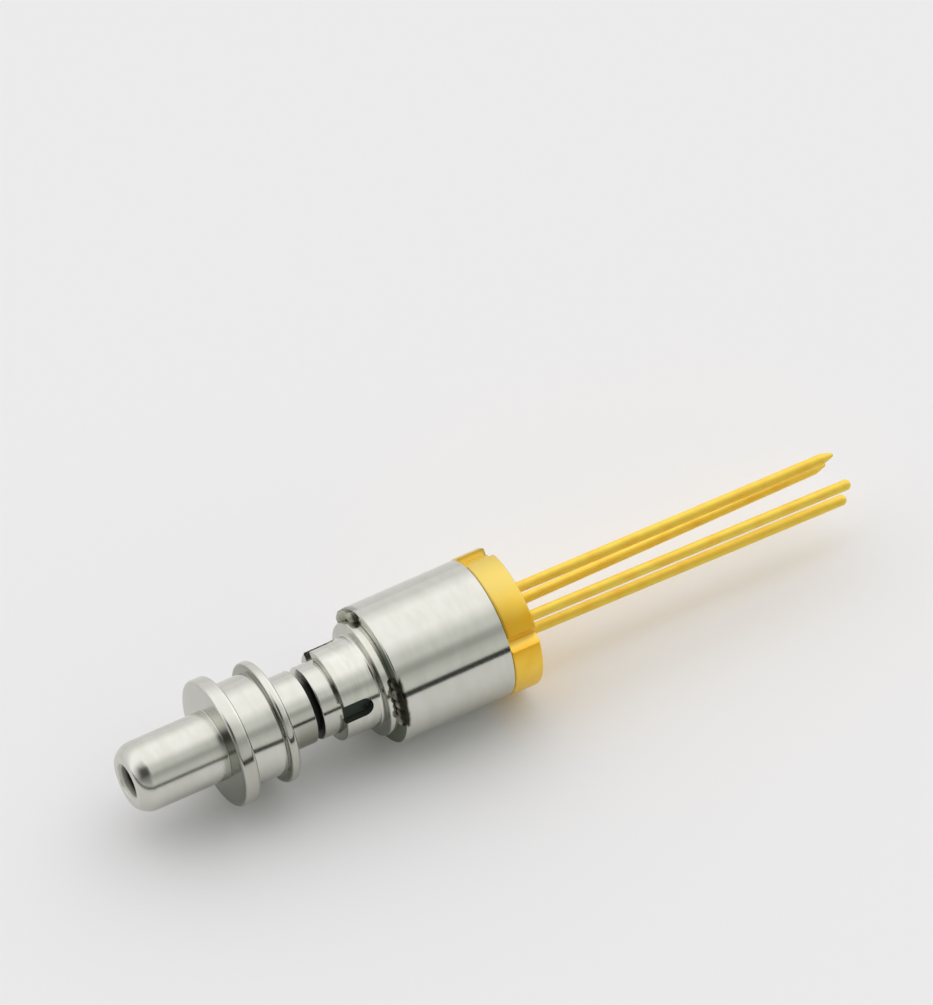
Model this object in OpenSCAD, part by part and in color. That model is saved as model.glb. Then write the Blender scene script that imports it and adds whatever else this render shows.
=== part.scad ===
// Transmit optical subassembly: a turned steel light port with a canned laser on a four lead header.
// The light axis lies along X. The nose points to -X and the leads to +X.
// Distances along the axis are counted from the front face of the front flange, which seats in a housing.
// Clock angles turn about the axis, from +Y towards +Z.

/* [Nose and flanges] */
// Diameter of the nose that a plug slides over
nose_d = 2.80; // [2.5:0.05:3.2]
// Length of the nose in front of the front flange
nose_l = 3.70; // [3.2:0.05:4.5]
// Length of the bevel at the tip of the nose
nose_bevel_l = 0.24; // [0.24:0.02:0.6]
// Radial depth of the bevel at the tip of the nose
nose_bevel_r = 0.36; // [0.2:0.02:0.54]
// Radius that rounds the edge between the bevel and the nose
nose_round = 0.75; // [0.1:0.05:0.8]
// Diameter of the front flange
flange_d = 5.15; // [4.6:0.05:6]
// Thickness of the front flange
flange_t = 0.66; // [0.4:0.02:1]
// Diameter of the groove between the flanges
groove_d = 4.15; // [3.6:0.05:4.4]
// Width of the groove between the flanges
groove_w = 1.40; // [1:0.05:2]
// Diameter of the rear flange
rear_flange_d = 4.90; // [4.6:0.05:6]
// Thickness of the rear flange
rear_flange_t = 0.40; // [0.3:0.02:0.8]
// Radius of the rounded flange rims
rim_round = 0.14; // [0.04:0.01:0.14]
// Radius of the hollows where the nose, the groove and the neck meet a flange
corner_round = 0.05; // [0.03:0.01:0.15]
// Length of the neck behind the rear flange
neck_l = 1.26; // [0.6:0.01:1.6]
// Wall of the neck around the stub holder's spigot
neck_wall = 0.375; // [0.25:0.005:0.5]

/* [Ferrule socket] */
// Diameter of the plug's ferrule, and of the fibre stub
ferrule_d = 1.25; // [1.1:0.01:1.4]
// Radial clearance between the ferrule and the split sleeve
ferrule_fit = 0.005; // [0.002:0.001:0.01]
// Radial clearance between the ferrule and the mouth of the nose
mouth_fit = 0.03; // [0.02:0.01:0.1]
// Length of the mouth, the lip that keeps the split sleeve in
mouth_l = 0.60; // [0.3:0.05:0.8]
// Lead-in bevel at the mouth
mouth_bevel = 0.12; // [0.05:0.01:0.15]
// Wall of the split sleeve
split_wall = 0.18; // [0.12:0.01:0.22]
// Width of the slit in the split sleeve
split_slit = 0.25; // [0.15:0.01:0.4]
// Radial play of the split sleeve in the shell
split_play = 0.04; // [0.02:0.01:0.08]
// End play of the split sleeve at each end
split_end_play = 0.05; // [0.02:0.01:0.15]

/* [Fibre stub] */
// Depth of the fibre stub's front face below the tip of the nose
stub_depth = 3.50; // [3:0.05:4]
// Length of the fibre stub along its axis
stub_l = 4.90; // [4.6:0.05:5.4]
// Slant of the stub's rear face in degrees, which keeps reflected light out of the laser
stub_slant = 8; // [4:0.5:10]
// Bevel at the stub's front edge
stub_bevel = 0.14; // [0.05:0.01:0.25]
// Diameter of the glass fibre
fibre_d = 0.125; // [0.08:0.005:0.2]

/* [Stub holder] */
// Wall of the spigot around the stub
spigot_wall = 0.475; // [0.35:0.005:0.6]
// Length of the spigot pressed into the neck
spigot_l = 2.00; // [1:0.05:2.4]
// Open gap between the neck and the collar
collar_gap = 0.29; // [0.15:0.01:0.5]
// Radial step from the spigot up to the collar
collar_step = 0.375; // [0.25:0.005:0.5]
// Length of the collar
collar_l = 2.25; // [1.6:0.05:2.6]
// Length of the collar that shows in front of the weld sleeve
collar_show = 0.74; // [0.4:0.02:1]
// Bevel at the edges of the collar
collar_bevel = 0.05; // [0.02:0.01:0.1]

/* [Weld sleeve] */
// Radial clearance between the collar and the weld sleeve
collar_fit = 0.01; // [0.005:0.005:0.03]
// Wall of the weld sleeve's skirt
skirt_wall = 0.34; // [0.25:0.01:0.45]
// Length of the weld sleeve with its flange
weld_sleeve_l = 2.03; // [1.8:0.01:2.6]
// Radial reach of the weld sleeve's flange beyond the skirt
weld_flange_reach = 0.475; // [0.42:0.005:0.6]
// Thickness of the weld sleeve's flange
weld_flange_t = 0.44; // [0.25:0.02:0.6]
// Radius of the hollow between the skirt and the flange
skirt_fillet = 0.12; // [0.08:0.01:0.41]
// Bevel at the front edge of the skirt
skirt_bevel = 0.05; // [0.02:0.01:0.1]
// Number of slots in the skirt, and of welds behind the flange
weld_count = 3; // [2:1:4]
// Width of each slot
slot_w = 0.75; // [0.4:0.05:1]
// Length of each slot from the skirt's front edge
slot_l = 1.20; // [0.8:0.02:1.3]
// Clock angle of the first slot and the first weld
weld_clock = 158; // [0:1:360]

/* [Laser holder] */
// Diameter of the barrel
barrel_d = 5.55; // [5.3:0.05:6]
// Length of the barrel
barrel_l = 4.70; // [4.5:0.05:5.5]
// Bevel at the front edge of the barrel
barrel_bevel = 0.05; // [0.05:0.01:0.2]
// Bevel at the rear edge of the barrel
barrel_rear_bevel = 0.04; // [0.02:0.01:0.08]
// Thickness of the barrel's front wall
front_wall = 1.10; // [0.6:0.05:1.2]
// Diameter of the light opening in the front wall
aperture_d = 2.00; // [1.2:0.05:2.6]

/* [Welds] */
// How far a spot reaches past the rim of the weld sleeve's flange and past the barrel's surface
spot_bite = 0.06; // [0.04:0.01:0.08]
// Distance of the spot centres behind the barrel's front face
spot_back = 0.06; // [0.02:0.01:0.1]
// Height of the melt above the barrel's surface
weld_crown = 0.015; // [0.005:0.005:0.02]
// Number of overlapping spots in one weld
spot_count = 5; // [2:1:6]
// Clock angle from one spot to the next
spot_pitch = 9; // [5:0.5:12]

/* [Cap] */
// Outer diameter of the cap's tube
cap_d = 3.56; // [3.3:0.02:3.7]
// Wall of the cap's tube and flange
cap_wall = 0.20; // [0.15:0.01:0.3]
// Thickness of the cap's end wall
cap_end_t = 0.25; // [0.15:0.01:0.35]
// Height of the cap from the header
cap_h = 3.20; // [3:0.05:3.4]
// Diameter of the cap's weld flange
cap_flange_d = 4.60; // [4.3:0.05:4.7]
// Outer radius at the closed end of the cap
cap_round = 0.30; // [0.1:0.02:0.4]
// Radial clearance between the cap and the barrel
cap_play = 0.12; // [0.05:0.01:0.15]
// Diameter of the ball lens
lens_d = 1.50; // [1.3:0.05:1.8]
// Diameter of the hole in the cap's end that the ball lens sits in
lens_hole_d = 1.24; // [1:0.02:1.28]
// Reach of the frit ring from the lens hole
frit_reach = 0.42; // [0.3:0.02:0.5]
// Depth of the frit ring below the end wall
frit_t = 0.34; // [0.2:0.02:0.4]

/* [Header] */
// Diameter of the header
header_d = 5.60; // [5.5:0.05:6.2]
// Thickness of the header
header_t = 1.20; // [0.8:0.05:1.6]
// Radius of the header's rounded edges
header_round = 0.08; // [0.03:0.01:0.12]
// Clock angle of the square notch and of the first lead
header_clock = 57; // [0:1:360]
// Width of the square notch
key_notch_w = 1.00; // [0.6:0.05:1.2]
// Depth of the notches
notch_depth = 0.32; // [0.2:0.01:0.36]
// Opening angle of the two pointed notches
notch_angle = 95; // [70:5:120]
// Width of the post that carries the laser
post_w = 0.90; // [0.72:0.02:1]
// Thickness of the post
post_t = 0.70; // [0.4:0.05:0.8]
// Height of the post above the header
post_h = 1.00; // [0.8:0.05:1.2]

/* [Leads] */
// Diameter of a lead
lead_d = 0.43; // [0.35:0.01:0.5]
// Diameter of the circle that the leads stand on
lead_circle_d = 1.80; // [1.7:0.05:2.1]
// Length of the leads behind the header
lead_l = 14.35; // [6:0.05:20]
// Length of the leads in front of the header, inside the cap
lead_in = 0.70; // [0.5:0.05:0.9]
// Straight length of a lead between the header and its bend
lead_start = 0.30; // [0.2:0.05:0.6]
// Radial swell of a lead at its bend
lead_swell = 0.004; // [0.002:0.001:0.02]
// Lean of each lead off the axis, in degrees: the leads in turn, the case lead third
lead_lean = [0.65, 1.00, 0.95, 0.65]; // [0.55:0.01:2]
// Clock angle that each lead leans towards, in the same order
lead_lean_clock = [215, 215, 215, 343]; // [0:1:360]
// Length of the taper at the tip of a pointed lead
point_l = 0.48; // [0.2:0.02:0.6]
// Diameter of a pointed lead's end face
point_d = 0.14; // [0.1:0.02:0.2]
// Length of the bevel at the tip of a blunt lead
blunt_l = 0.12; // [0.05:0.01:0.2]
// Diameter of a blunt lead's end face
blunt_d = 0.24; // [0.2:0.02:0.3]
// Wall of the glass bead around a lead
seal_wall = 0.21; // [0.15:0.01:0.24]
// Depth of the glass beads below the header's faces
seal_sink = 0.04; // [0.02:0.01:0.1]

/* [Dies and wires] */
// Thickness of the laser's submount
submount_t = 0.20; // [0.15:0.01:0.25]
// Width of the submount
submount_w = 0.70; // [0.5:0.02:0.72]
// Length of the submount along the axis
submount_l = 0.60; // [0.5:0.02:0.7]
// Thickness of the laser chip
chip_t = 0.10; // [0.08:0.01:0.14]
// Width of the laser chip
chip_w = 0.25; // [0.2:0.01:0.3]
// Length of the laser chip
chip_l = 0.30; // [0.25:0.01:0.4]
// Side of the monitor diode's carrier
carrier_w = 0.56; // [0.5:0.02:0.6]
// Thickness of the carrier
carrier_t = 0.15; // [0.1:0.01:0.2]
// Side of the monitor diode
diode_w = 0.42; // [0.3:0.02:0.46]
// Thickness of the monitor diode
diode_t = 0.12; // [0.1:0.01:0.15]
// Distance of the carrier from the submount's plane
carrier_gap = 0.08; // [0.04:0.01:0.12]
// Diameter of a bond wire
wire_d = 0.05; // [0.025:0.005:0.06]
// Diameter of a bond's foot
foot_d = 0.11; // [0.08:0.01:0.14]
// Thickness of a bond's foot
foot_t = 0.03; // [0.03:0.002:0.05]

/* [Hidden] */
$fn = 96;

// How far a cut runs past the face it opens
cut_over = 0.05;

// Places along the axis, from the front flange's face towards the leads
nose_tip = -nose_l;
split_s = nose_tip + mouth_l;
rear_flange_s = flange_t + groove_w;
neck_s = rear_flange_s + rear_flange_t;
neck_end = neck_s + neck_l;
spigot_s = neck_end - spigot_l;
stub_s = nose_tip + stub_depth;
stub_end = stub_s + stub_l;
collar_s = neck_end + collar_gap;
skirt_s = collar_s + collar_show;
barrel_s = skirt_s + weld_sleeve_l;
weld_flange_s = barrel_s - weld_flange_t;
header_s = barrel_s + barrel_l;
header_end = header_s + header_t;
cap_s = header_s - cap_h;
post_s = header_s - post_h;
lead_in_s = header_s - lead_in;
bend_s = header_end + lead_start;

// Diameters that follow from the pieces inside
mouth_d = ferrule_d + 2 * mouth_fit;
split_in_d = ferrule_d + 2 * ferrule_fit;
split_d = split_in_d + 2 * split_wall;
split_pocket_d = split_d + 2 * split_play;
spigot_d = ferrule_d + 2 * spigot_wall;
neck_d = spigot_d + 2 * neck_wall;
collar_d = spigot_d + 2 * collar_step;
skirt_in_d = collar_d + 2 * collar_fit;
skirt_d = skirt_in_d + 2 * skirt_wall;
weld_flange_d = skirt_d + 2 * weld_flange_reach;
barrel_bore_d = cap_d + 2 * cap_play;
flange_pocket_d = cap_flange_d + 2 * cap_play;
flange_pocket_l = cap_wall + cap_play;
seal_d = lead_d + 2 * seal_wall;

// The weld spots bridge the step from the weld sleeve's flange up to the barrel
spot_ring_d = (barrel_d + weld_flange_d) / 2;
spot_d = (barrel_d - weld_flange_d) / 2 + 2 * spot_bite;
spot_top = (barrel_d - spot_ring_d) / 2 + weld_crown;

// The laser's beam leaves on the axis, so the post stands off by the submount and half the chip
submount_face = chip_t / 2;
post_face = submount_face + submount_t;
carrier_x = submount_face - carrier_gap - carrier_w / 2;

// The ball lens rests on the inner edge of its hole
lens_seat_s = cap_s + cap_end_t;
lens_s = lens_seat_s + sqrt(pow(lens_d / 2, 2) - pow(lens_hole_d / 2, 2));

// Clock angles: the leads stand a quarter turn apart, and the case lead is third
quarter = 90;
function lead_clock(i) = header_clock + quarter * i;
case_i = 2;
through_leads = [0, 1, 3];
pointed_notches = [1, 3];
pointed_lead = [true, false, false, true];

steel = "#c8c7c2";
steel_dark = "#b4b3ad";
burnt = "#4b4741";
gold = "#dcae3a";
zirconia = "#ece9e0";
glass = "#b9cfd6";
bead_glass = "#3d4a4c";
ceramic = "#e4e0d2";
die = "#5a5560";

// Lays the turning axis, which is Z while a piece is drawn, along X
module on_axis() {
    rotate([90, 0, 90])
        children();
}

// Turns a section: x is the distance from the axis, y the place along it
module turned() {
    on_axis()
        rotate_extrude()
            children();
}

// Section of a plain length of bar
module land(d, from, to) {
    translate([0, from])
        square([d / 2, to - from]);
}

// What a rounding takes off an outer corner
module corner_waste(r) {
    difference() {
        square(r + cut_over);
        circle(r);
    }
}

// Section of a length of bar with rounded edges
module round_land(d, from, to, r) {
    difference() {
        land(d, from, to);
        translate([d / 2 - r, to - r])
            corner_waste(r);
        translate([d / 2 - r, from + r])
            mirror([0, 1])
                corner_waste(r);
    }
}

// Section of a length of bar that is bevelled at its front end, at its rear end or at both
module bevel_land(d, from, to, front, rear) {
    polygon([
        [0, from], [d / 2 - front, from], [d / 2, from + front],
        [d / 2, to - rear], [d / 2 - rear, to], [0, to]
    ]);
}

// What a turning tool leaves in the corner between a bar and the rear face of a flange at place s
module rear_hollow(d, s) {
    translate([d / 2, s])
        difference() {
            translate([-cut_over, -cut_over])
                square(corner_round + cut_over);
            translate([corner_round, corner_round])
                circle(corner_round);
        }
}

// The same corner in front of a flange whose front face is at place s
module front_hollow(d, s) {
    mirror([0, 1])
        rear_hollow(d, -s);
}

// The nose, both flanges and the neck are turned from one bar
module receptacle_shell() {
    color(steel)
        turned()
            difference() {
                union() {
                    nose_section();
                    front_hollow(nose_d, 0);
                    round_land(flange_d, 0, flange_t, rim_round);
                    rear_hollow(groove_d, flange_t);
                    land(groove_d, flange_t / 2, neck_s - rear_flange_t / 2);
                    front_hollow(groove_d, rear_flange_s);
                    round_land(rear_flange_d, rear_flange_s, neck_s, rim_round);
                    rear_hollow(neck_d, neck_s);
                    bevel_land(neck_d, rear_flange_s, neck_end, 0, collar_bevel);
                }
                socket_section();
            }
}

// Bar with a bevelled tip, rounded where the bevel ends
module nose_section() {
    edge = [nose_d / 2, nose_tip + nose_bevel_l];
    turn = atan2(nose_bevel_r, nose_bevel_l);
    run = nose_round * tan(turn / 2);
    difference() {
        polygon([
            [0, nose_tip], [nose_d / 2 - nose_bevel_r, nose_tip], edge, [nose_d / 2, flange_t], [0, flange_t]
        ]);
        difference() {
            polygon([
                edge + [0, run], edge - run * [sin(turn), cos(turn)], edge + [cut_over, -cut_over]
            ]);
            translate(edge + [-nose_round, run])
                circle(nose_round);
        }
    }
}

// Mouth with its lead-in, pocket for the split sleeve and bore for the stub holder's spigot
module socket_section() {
    translate([0, nose_tip - cut_over])
        square([mouth_d / 2, mouth_l + 2 * cut_over]);
    polygon([
        [0, nose_tip - cut_over], [mouth_d / 2 + mouth_bevel + cut_over, nose_tip - cut_over],
        [mouth_d / 2, nose_tip + mouth_bevel], [0, nose_tip + mouth_bevel]
    ]);
    land(split_pocket_d, split_s, spigot_s + cut_over);
    land(spigot_d, spigot_s, neck_end + cut_over);
}

module split_sleeve() {
    slit_reach = split_d;
    color(zirconia)
        on_axis()
            difference() {
                rotate_extrude()
                    translate([split_in_d / 2, split_s + split_end_play])
                        square([split_wall, spigot_s - split_s - 2 * split_end_play]);
                rotate([0, 0, weld_clock])
                    translate([0, -split_slit / 2, split_s])
                        cube([slit_reach, split_slit, spigot_s - split_s]);
            }
}

// Cuts the slanted rear face that the stub and its fibre share
module slant_cut() {
    reach = 2 * ferrule_d;
    difference() {
        children();
        translate([0, 0, stub_end])
            rotate([0, stub_slant, 0])
                translate([-reach, -reach, 0])
                    cube([2 * reach, 2 * reach, reach]);
    }
}

module fibre_stub() {
    color(zirconia)
        on_axis()
            slant_cut()
                rotate_extrude()
                    difference() {
                        bevel_land(ferrule_d, stub_s, stub_end + ferrule_d, stub_bevel, 0);
                        land(fibre_d, stub_s - cut_over, stub_end + ferrule_d + cut_over);
                    }
}

module fibre() {
    color(glass)
        on_axis()
            slant_cut()
                translate([0, 0, stub_s])
                    cylinder(h = stub_l + ferrule_d, d = fibre_d);
}

// The spigot is pressed into the neck, the stub into the spigot, and the collar slides in the weld sleeve
module stub_holder() {
    color(steel_dark)
        turned()
            difference() {
                union() {
                    land(spigot_d, spigot_s, collar_s + collar_l / 2);
                    bevel_land(collar_d, collar_s, collar_s + collar_l, collar_bevel, collar_bevel);
                }
                land(ferrule_d, spigot_s - cut_over, collar_s + collar_l + cut_over);
            }
}

// Outer section of the weld sleeve: skirt, hollow and flange
module weld_sleeve_section() {
    difference() {
        union() {
            bevel_land(skirt_d, skirt_s, barrel_s, skirt_bevel, 0);
            land(weld_flange_d, weld_flange_s, barrel_s);
            translate([0, weld_flange_s - skirt_fillet])
                square([skirt_d / 2 + skirt_fillet, skirt_fillet + weld_flange_t / 2]);
        }
        translate([skirt_d / 2 + skirt_fillet, weld_flange_s - skirt_fillet])
            circle(skirt_fillet);
    }
}

// Outline of a slot, open at the skirt's front edge and round at its other end
module slot_outline() {
    round_s = skirt_s + slot_l - slot_w / 2;
    translate([round_s, 0])
        circle(d = slot_w);
    translate([skirt_s - cut_over, -slot_w / 2])
        square([round_s - skirt_s + cut_over, slot_w]);
}

// One copy at each weld's clock angle
module at_welds() {
    for (i = [0 : weld_count - 1])
        rotate([0, 0, weld_clock + 360 / weld_count * i])
            children();
}

module weld_sleeve() {
    color(steel)
        on_axis()
            difference() {
                rotate_extrude()
                    difference() {
                        weld_sleeve_section();
                        land(skirt_in_d, skirt_s - cut_over, barrel_s + cut_over);
                    }
                at_welds()
                    rotate([0, -quarter, 0])
                        mirror([0, 0, 1])
                            linear_extrude(skirt_d)
                                slot_outline();
            }
}

// Ball of melt from one laser spot, flat on the side that looks away from the light axis
module weld_spot() {
    rotate([0, quarter, 0])
        rotate_extrude()
            intersection() {
                circle(d = spot_d);
                translate([0, -spot_d])
                    square([spot_d, spot_d + spot_top]);
            }
}

// Overlapping laser spots across the corner between the weld sleeve's flange and the barrel
module weld_spots() {
    at_welds()
        for (i = [0 : spot_count - 1])
            rotate([0, 0, spot_pitch * (i - (spot_count - 1) / 2)])
                translate([spot_ring_d / 2, 0, barrel_s + spot_back])
                    weld_spot();
}

// Barrel with the can's room inside; its front edge is melted away at the welds
module laser_holder() {
    color(steel)
        on_axis()
            difference() {
                rotate_extrude()
                    difference() {
                        bevel_land(barrel_d, barrel_s, header_s, barrel_bevel, barrel_rear_bevel);
                        land(aperture_d, barrel_s - cut_over, header_s);
                        land(barrel_bore_d, barrel_s + front_wall, header_s + cut_over);
                        land(flange_pocket_d, header_s - flange_pocket_l, header_s + cut_over);
                    }
                weld_spots();
            }
}

// The melt fills the spots outside the weld sleeve
module holder_welds() {
    color(burnt)
        on_axis()
            difference() {
                weld_spots();
                rotate_extrude()
                    weld_sleeve_section();
            }
}

// Drawn can with a flange at its open end
module cap() {
    color(steel_dark)
        turned()
            difference() {
                union() {
                    difference() {
                        land(cap_d, cap_s, header_s);
                        translate([cap_d / 2 - cap_round, cap_s + cap_round])
                            mirror([0, 1])
                                corner_waste(cap_round);
                    }
                    land(cap_flange_d, header_s - cap_wall, header_s);
                }
                land(cap_d - 2 * cap_wall, lens_seat_s, header_s + cut_over);
                land(lens_hole_d, cap_s - cut_over, lens_seat_s + cut_over);
            }
}

module cap_lens() {
    color(glass)
        on_axis()
            translate([0, 0, lens_s])
                sphere(d = lens_d);
}

// Ring of frit glass in the corner between the cap's end wall and the ball
module lens_seal() {
    color(bead_glass)
        turned()
            difference() {
                translate([lens_hole_d / 2, lens_seat_s])
                    polygon([[0, 0], [frit_reach, 0], [frit_reach / 2, frit_t], [0, frit_t]]);
                translate([0, lens_s])
                    circle(d = lens_d);
            }
}

// One copy at the place of lead i, with x pointing away from the axis
module at_lead(i) {
    rotate([0, 0, lead_clock(i)])
        translate([lead_circle_d / 2, 0, 0])
            children();
}

// Round plated base with a post, a square notch and two pointed notches
module header() {
    color(gold)
        on_axis() {
            difference() {
                rotate_extrude()
                    round_land(header_d, header_s, header_end, header_round);
                key_notch();
                for (i = pointed_notches)
                    pointed_notch(i);
                for (i = through_leads)
                    at_lead(i)
                        translate([0, 0, header_s - cut_over])
                            cylinder(h = header_t + 2 * cut_over, d = seal_d);
            }
            rotate([0, 0, lead_clock(case_i)])
                translate([post_face, -post_w / 2, post_s])
                    cube([post_t, post_w, post_h]);
        }
}

module key_notch() {
    rotate([0, 0, lead_clock(0)])
        translate([header_d / 2 - notch_depth, -key_notch_w / 2, header_s - cut_over])
            cube([header_d, key_notch_w, header_t + 2 * cut_over]);
}

module pointed_notch(i) {
    reach = notch_depth + header_d / 2;
    spread = reach * tan(notch_angle / 2);
    rotate([0, 0, lead_clock(i)])
        translate([header_d / 2 - notch_depth, 0, header_s - cut_over])
            linear_extrude(header_t + 2 * cut_over)
                polygon([[0, 0], [reach, -spread], [reach, spread]]);
}

// Glass bead around a lead that passes through the header
module lead_seal(i) {
    color(bead_glass)
        on_axis()
            at_lead(i)
                difference() {
                    translate([0, 0, header_s + seal_sink])
                        cylinder(h = header_t - 2 * seal_sink, d = seal_d);
                    translate([0, 0, header_s])
                        cylinder(h = header_t, d = lead_d);
                }
}

module seal_1() {
    lead_seal(through_leads[0]);
}

module seal_2() {
    lead_seal(through_leads[1]);
}

module seal_3() {
    lead_seal(through_leads[2]);
}

// Straight start, slight bend, long run and tapered tip
module lead(i, from) {
    tip_l = pointed_lead[i] ? point_l : blunt_l;
    tip_d = pointed_lead[i] ? point_d : blunt_d;
    run_l = lead_l - lead_start - tip_l;
    color(gold)
        on_axis()
            at_lead(i) {
                translate([0, 0, from])
                    cylinder(h = bend_s - from, d = lead_d);
                translate([0, 0, bend_s])
                    sphere(lead_d / 2 + lead_swell);
                translate([0, 0, bend_s])
                    rotate([0, 0, lead_lean_clock[i] - lead_clock(i)])
                        rotate([0, lead_lean[i], 0]) {
                            cylinder(h = run_l, d = lead_d);
                            translate([0, 0, run_l])
                                cylinder(h = tip_l, d1 = lead_d, d2 = tip_d);
                        }
            }
}

module lead_1() {
    lead(through_leads[0], lead_in_s);
}

module lead_2() {
    lead(through_leads[1], lead_in_s);
}

module lead_3() {
    lead(through_leads[2], lead_in_s);
}

// The case lead is joined to the header's rear face
module case_lead() {
    lead(case_i, header_end);
}

// Frame of the post: x points from the axis to the post
module at_post() {
    on_axis()
        rotate([0, 0, lead_clock(case_i)])
            children();
}

module submount() {
    color(ceramic)
        at_post()
            translate([submount_face, -submount_w / 2, post_s])
                cube([submount_t, submount_w, submount_l]);
}

module laser_chip() {
    color(die)
        at_post()
            translate([-chip_t / 2, -chip_w / 2, post_s])
                cube([chip_t, chip_w, chip_l]);
}

// Square tile with its back at place s, in line with the middle of the carrier
module tile(w, t, s) {
    translate([carrier_x - w / 2, -w / 2, s - t])
        cube([w, w, t]);
}

// The carrier lies on the header behind the laser, clear of the post
module monitor_carrier() {
    color(ceramic)
        at_post()
            tile(carrier_w, carrier_t, header_s);
}

module monitor_diode() {
    color(die)
        at_post()
            tile(diode_w, diode_t, header_s - carrier_t);
}

// Round arc of wire from p to q that rises towards the side up, by the share rise of its span
module wire_arc(p, q, up, rise) {
    span = norm(q - p);
    sag = rise * span;
    along = (q - p) / span;
    lift = up - (up * along) * along;
    side = lift / norm(lift);
    out = cross(along, side);
    arc_r = (pow(span / 2, 2) + pow(sag, 2)) / (2 * sag);
    half = asin(span / 2 / arc_r);
    centre = (p + q) / 2 - side * (arc_r - sag);
    multmatrix([
        [along[0], side[0], out[0], centre[0]],
        [along[1], side[1], out[1], centre[1]],
        [along[2], side[2], out[2], centre[2]]
    ])
        rotate_extrude(angle = 2 * half, start = quarter - half)
            translate([arc_r, 0])
                circle(d = wire_d);
}

// Foot of a bond on a face that looks towards the lens
module end_foot(p) {
    translate(p)
        cylinder(h = foot_t, d = foot_d);
}

// Foot of a bond on a face that looks away from the post
module side_foot(p) {
    translate(p)
        rotate([0, quarter, 0])
            cylinder(h = foot_t, d = foot_d);
}

// The lead's inner end that is turns quarter turns on from the post
function lead_foot(turns) = [
    lead_circle_d / 2 * cos(quarter * turns), lead_circle_d / 2 * sin(quarter * turns), lead_in_s - foot_t
];

// Gold wires from the laser, the submount and the monitor diode to the three through leads
module bond_wires() {
    rise = 0.3;
    away = [-1, 0, -1];
    chip_pad = [-chip_t / 2 - foot_t, 0, post_s + chip_l / 2];
    tile_pad = [submount_face - foot_t, -(chip_w + submount_w) / 4, post_s + submount_l / 2];
    diode_pad = [carrier_x, 0, header_s - carrier_t - diode_t - foot_t];
    color(gold)
        at_post() {
            side_foot(chip_pad);
            end_foot(lead_foot(1));
            wire_arc(chip_pad, lead_foot(1), away, rise);
            side_foot(tile_pad);
            end_foot(lead_foot(-1));
            wire_arc(tile_pad, lead_foot(-1), away, rise);
            end_foot(diode_pad);
            end_foot(lead_foot(2));
            wire_arc(diode_pad, lead_foot(2), [0, 0, -1], rise);
        }
}

receptacle_shell();
split_sleeve();
fibre_stub();
fibre();
stub_holder();
weld_sleeve();
laser_holder();
holder_welds();
cap();
cap_lens();
lens_seal();
header();
seal_1();
seal_2();
seal_3();
lead_1();
lead_2();
lead_3();
case_lead();
submount();
laser_chip();
monitor_carrier();
monitor_diode();
bond_wires();
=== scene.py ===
"""Looks of a transmit optical subassembly: a turned steel light port, a welded barrel and a gold header."""
import logging
import math
from collections.abc import Callable, Mapping, Sequence
from dataclasses import dataclass, field
from enum import Enum
from typing import Any, ClassVar, Union

import bmesh
import bpy
from mathutils import Matrix, Vector


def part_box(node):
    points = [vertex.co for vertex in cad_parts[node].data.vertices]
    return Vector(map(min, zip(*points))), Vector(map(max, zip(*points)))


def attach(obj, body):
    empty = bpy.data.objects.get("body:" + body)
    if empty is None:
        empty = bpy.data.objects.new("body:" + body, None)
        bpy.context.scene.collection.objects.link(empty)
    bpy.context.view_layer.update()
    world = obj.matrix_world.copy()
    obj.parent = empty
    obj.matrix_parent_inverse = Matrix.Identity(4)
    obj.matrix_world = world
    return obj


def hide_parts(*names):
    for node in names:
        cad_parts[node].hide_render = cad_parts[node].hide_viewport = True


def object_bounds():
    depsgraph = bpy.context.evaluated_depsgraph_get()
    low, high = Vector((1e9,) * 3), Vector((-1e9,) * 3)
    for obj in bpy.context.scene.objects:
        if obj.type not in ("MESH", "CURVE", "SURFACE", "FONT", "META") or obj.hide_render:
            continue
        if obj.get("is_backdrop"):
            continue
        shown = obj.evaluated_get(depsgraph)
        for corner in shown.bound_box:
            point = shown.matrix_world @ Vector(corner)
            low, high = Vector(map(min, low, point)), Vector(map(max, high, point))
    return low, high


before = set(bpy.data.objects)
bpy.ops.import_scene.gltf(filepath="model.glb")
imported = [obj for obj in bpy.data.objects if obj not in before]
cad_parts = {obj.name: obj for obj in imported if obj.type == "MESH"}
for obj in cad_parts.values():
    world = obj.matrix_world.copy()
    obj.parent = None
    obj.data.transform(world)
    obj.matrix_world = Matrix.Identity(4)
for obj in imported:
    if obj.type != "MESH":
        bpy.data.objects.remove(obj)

LOG = logging.getLogger("optical_subassembly")
MM = 0.001
BODY = "root"
# Points closer than this, in metres, are one point
TOUCH = 2e-7
TURN_STEPS = 192
ROUND_STEPS = 6
SMOOTH_ANGLE = 32.0
# Share of a half width that a bevel can round off without closing on itself
FULL_ROUND = 0.999
# Direction of the side that lies towards the floor in front
UNDERSIDE = Vector((0.0, -0.82, -0.57))

Colour = tuple[float, float, float]
Box = tuple[Vector, Vector]


def arm(clock: float) -> Vector:
    """Direction away from the light axis at a clock angle, in degrees from +Y towards +Z."""
    angle = math.radians(clock)
    return Vector((0.0, math.cos(angle), math.sin(angle)))


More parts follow.
